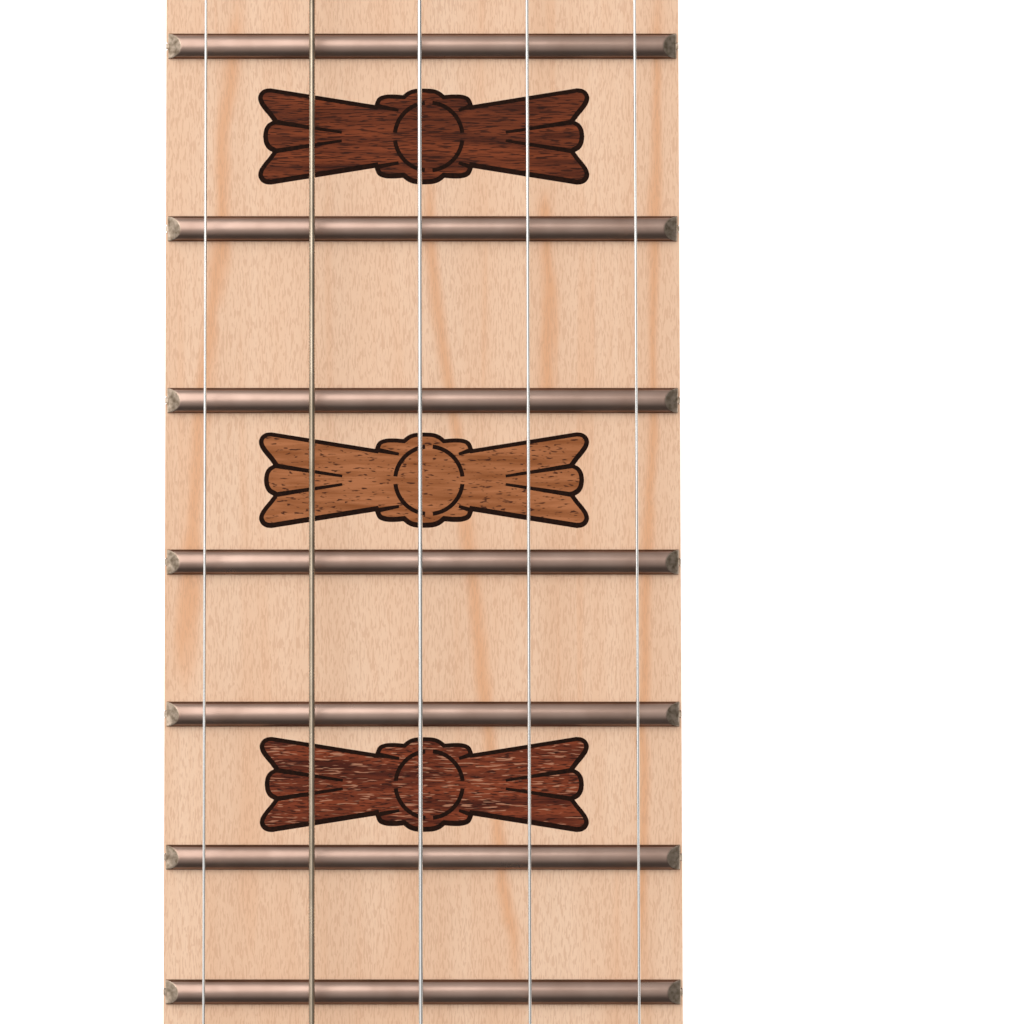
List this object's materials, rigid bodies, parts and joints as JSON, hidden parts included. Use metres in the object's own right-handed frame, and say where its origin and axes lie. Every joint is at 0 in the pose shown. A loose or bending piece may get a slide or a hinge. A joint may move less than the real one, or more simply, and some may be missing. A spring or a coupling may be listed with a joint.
{
  "type": "open-back banjo",
  "caption": "Open-back banjo with maple neck and rim, fretted board with wood bow inlays, hook-tensioned head, and geared tuners whose buttons turn the string posts.",
  "frame": {"origin": "under the middle of the banjo's length, on the plane of the rim's back edge, which it lies on", "axes": "+Y from the tail to the peghead, +Z out of the head, +X to the first string's side"},
  "size_m": [0.3028, 0.9453, 0.0869],
  "materials": {
    "board_maple": "pale maple, satin",
    "neck_maple": "maple, oiled satin",
    "rim_maple": "laminated maple, satin",
    "bridge_maple": "bare maple",
    "walnut": "dark walnut, satin",
    "mahogany": "mahogany, satin",
    "nickel_silver": "polished nickel silver wire",
    "nickel_plate": "polished nickel plate",
    "steel": "bright drawn steel",
    "bronze": "bronze winding over steel",
    "bone": "smooth bone",
    "head_film": "frosted polyester film"
  },
  "bodies": {
    "banjo": {"rim": "rim_maple", "head": "head_film", "tension_hoop": "nickel_plate", "bracket_band": "nickel_plate", "coordinator_rod": "steel", "neck": "neck_maple", "fingerboard": "board_maple", "nut": "bone", "fifth_string_nut": "bone", "bridge": "bridge_maple", "tailpiece": "nickel_plate", "string_1": "steel", "string_2": "steel", "string_3": "steel", "string_4": "bronze", "string_5": "steel", "inlay_05": "walnut", "inlay_07": "mahogany", "inlay_10": "walnut", "inlay_12": "walnut", "inlay_15": "walnut", "inlay_17": "mahogany", "inlay_19": "walnut", "fret_01": "nickel_silver", "fret_02": "nickel_silver", "fret_03": "nickel_silver", "fret_04": "nickel_silver", "fret_05": "nickel_silver", "fret_06": "nickel_silver", "fret_07": "nickel_silver", "fret_08": "nickel_silver", "fret_09": "nickel_silver", "fret_10": "nickel_silver", "fret_11": "nickel_silver", "fret_12": "nickel_silver", "fret_13": "nickel_silver", "fret_14": "nickel_silver", "fret_15": "nickel_silver", "fret_16": "nickel_silver", "fret_17": "nickel_silver", "fret_18": "nickel_silver", "fret_19": "nickel_silver", "fret_20": "nickel_silver", "fret_21": "nickel_silver", "fret_22": "nickel_silver", "tuner_1_housing": "nickel_plate", "tuner_2_housing": "nickel_plate", "tuner_3_housing": "nickel_plate", "tuner_4_housing": "nickel_plate", "fifth_tuner_housing": "nickel_plate"},
    "button_1": {"tuner_1_button": "nickel_plate"},
    "post_1": {"tuner_1_post": "nickel_plate"},
    "button_2": {"tuner_2_button": "nickel_plate"},
    "post_2": {"tuner_2_post": "nickel_plate"},
    "button_3": {"tuner_3_button": "nickel_plate"},
    "post_3": {"tuner_3_post": "nickel_plate"},
    "button_4": {"tuner_4_button": "nickel_plate"},
    "post_4": {"tuner_4_post": "nickel_plate"},
    "button_5": {"fifth_tuner_button": "nickel_plate"},
    "post_5": {"fifth_tuner_post": "nickel_plate"}
  },
  "joints": [
    {"name": "button_1_turn", "type": "hinge", "parent": "banjo", "child": "button_1", "pos_m": [0.02615, 0.36926, 0.02449], "axis": [1, 0, 0], "continuous": true},
    {"name": "post_1_turn", "type": "hinge", "parent": "banjo", "child": "post_1", "pos_m": [0.02615, 0.36493, 0.04525], "axis": [0, 0.2204, 0.9754], "continuous": true},
    {"name": "button_2_turn", "type": "hinge", "parent": "banjo", "child": "button_2", "pos_m": [0.02615, 0.41998, 0.01303], "axis": [1, 0, 0], "continuous": true},
    {"name": "post_2_turn", "type": "hinge", "parent": "banjo", "child": "post_2", "pos_m": [0.02615, 0.41565, 0.03379], "axis": [0, 0.2204, 0.9754], "continuous": true},
    {"name": "button_3_turn", "type": "hinge", "parent": "banjo", "child": "button_3", "pos_m": [-0.01785, 0.41998, 0.01303], "axis": [-1, 0, 0], "continuous": true},
    {"name": "post_3_turn", "type": "hinge", "parent": "banjo", "child": "post_3", "pos_m": [-0.01785, 0.41565, 0.03379], "axis": [0, 0.2204, 0.9754], "continuous": true},
    {"name": "button_4_turn", "type": "hinge", "parent": "banjo", "child": "button_4", "pos_m": [-0.01785, 0.36926, 0.02449], "axis": [-1, 0, 0], "continuous": true},
    {"name": "post_4_turn", "type": "hinge", "parent": "banjo", "child": "post_4", "pos_m": [-0.01785, 0.36493, 0.04525], "axis": [0, 0.2204, 0.9754], "continuous": true},
    {"name": "button_5_turn", "type": "hinge", "parent": "banjo", "child": "button_5", "pos_m": [-0.02206, 0.15705, 0.05908], "axis": [-0.9903, 0.0042, 0.1391], "continuous": true},
    {"name": "post_5_turn", "type": "hinge", "parent": "banjo", "child": "post_5", "pos_m": [-0.02206, 0.15705, 0.05908], "axis": [-0.9903, 0.0042, 0.1391], "continuous": true}
  ],
  "couplings": [
    {"joint": "post_1_turn", "follows": "button_1_turn", "ratio": 0.071429},
    {"joint": "post_2_turn", "follows": "button_2_turn", "ratio": 0.071429},
    {"joint": "post_3_turn", "follows": "button_3_turn", "ratio": -0.071429},
    {"joint": "post_4_turn", "follows": "button_4_turn", "ratio": -0.071429},
    {"joint": "post_5_turn", "follows": "button_5_turn", "ratio": 0.25}
  ]
}
